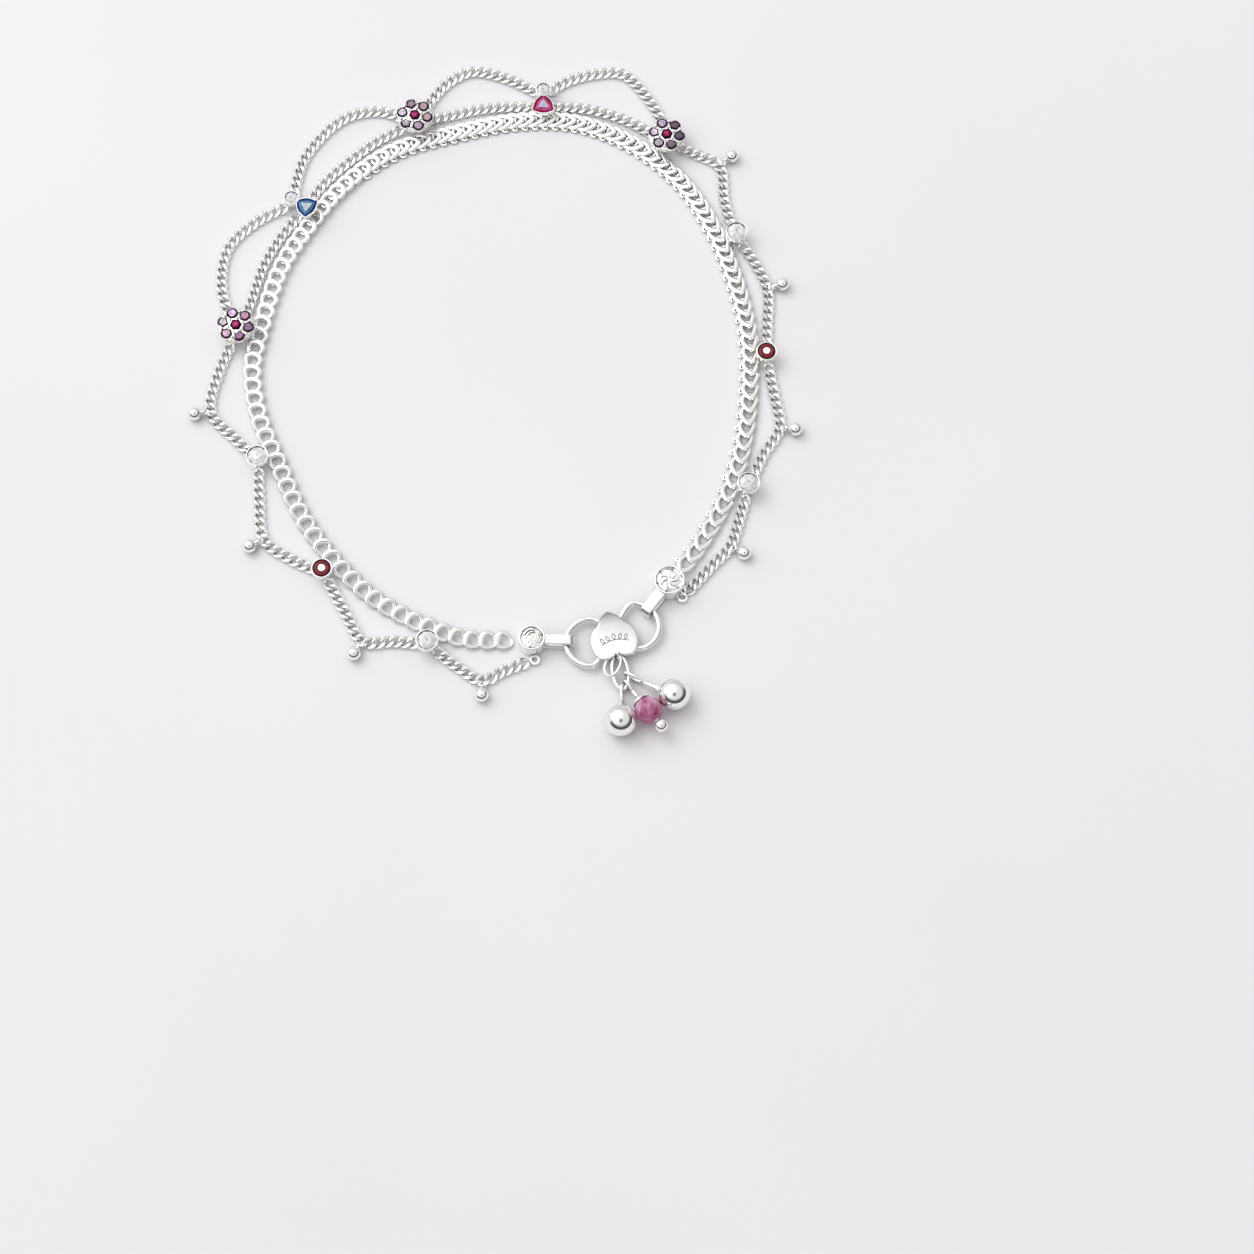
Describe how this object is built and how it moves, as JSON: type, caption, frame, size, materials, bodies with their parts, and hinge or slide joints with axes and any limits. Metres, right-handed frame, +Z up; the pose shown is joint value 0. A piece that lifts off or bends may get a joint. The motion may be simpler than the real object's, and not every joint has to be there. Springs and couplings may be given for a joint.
{
  "type": "payal anklet",
  "caption": "Closed payal anklet of horseshoe links with stone settings, fine chain festoons with ball drops, and an S hook with a heart plate and three charms.",
  "frame": {"origin": "on the surface it lies on, below the middle of the whole anklet's box", "axes": "+Z up off the surface, +Y away from the clasp along the longer way of the loop, +X to the right of it"},
  "size_m": [0.1048, 0.1262, 0.0054],
  "materials": {
    "silver": "bright polished silver with dark recesses",
    "clear_stone": "faceted clear stone",
    "blue_stone": "faceted blue stone",
    "ruby_stone": "faceted ruby stone",
    "magenta_stone": "faceted deep magenta stone",
    "lilac_stone": "faceted lilac stone",
    "red_glass": "polished deep red glass",
    "pink_glass": "polished satin pink glass bead"
  },
  "bodies": {
    "root": {"main_chain_left": "silver", "main_chain_right": "silver", "collet_clear_low_left": "silver", "stone_clear_low_left": "clear_stone", "collet_red_left": "silver", "stone_red_left": "red_glass", "collet_clear_left": "silver", "stone_clear_left": "clear_stone", "flower_left": "silver", "setting_blue": "silver", "stone_blue": "blue_stone", "stone_blue_round": "clear_stone", "flower_top": "silver", "setting_ruby": "silver", "stone_ruby": "ruby_stone", "stone_ruby_round": "clear_stone", "flower_right": "silver", "collet_clear_right": "silver", "stone_clear_right": "clear_stone", "collet_red_right": "silver", "stone_red_right": "red_glass", "collet_clear_low_right": "silver", "stone_clear_low_right": "clear_stone", "end_left": "silver", "end_right": "silver", "s_hook": "silver", "jump_ring": "silver", "charm_ball_left": "silver", "charm_ball_right": "silver", "charm_bead": "pink_glass", "headpin": "silver", "curb_inner_1": "silver", "curb_inner_2": "silver", "curb_inner_3": "silver", "curb_inner_4": "silver", "curb_outer_1": "silver", "curb_outer_2": "silver", "curb_outer_3": "silver", "curb_outer_4": "silver", "festoon_1": "silver", "drop_1": "silver", "festoon_2": "silver", "drop_2": "silver", "festoon_3": "silver", "drop_3": "silver", "festoon_4": "silver", "drop_4": "silver", "festoon_5": "silver", "drop_5": "silver", "festoon_6": "silver", "drop_6": "silver", "festoon_7": "silver", "drop_7": "silver", "festoon_8": "silver", "drop_8": "silver"}
  },
  "joints": []
}
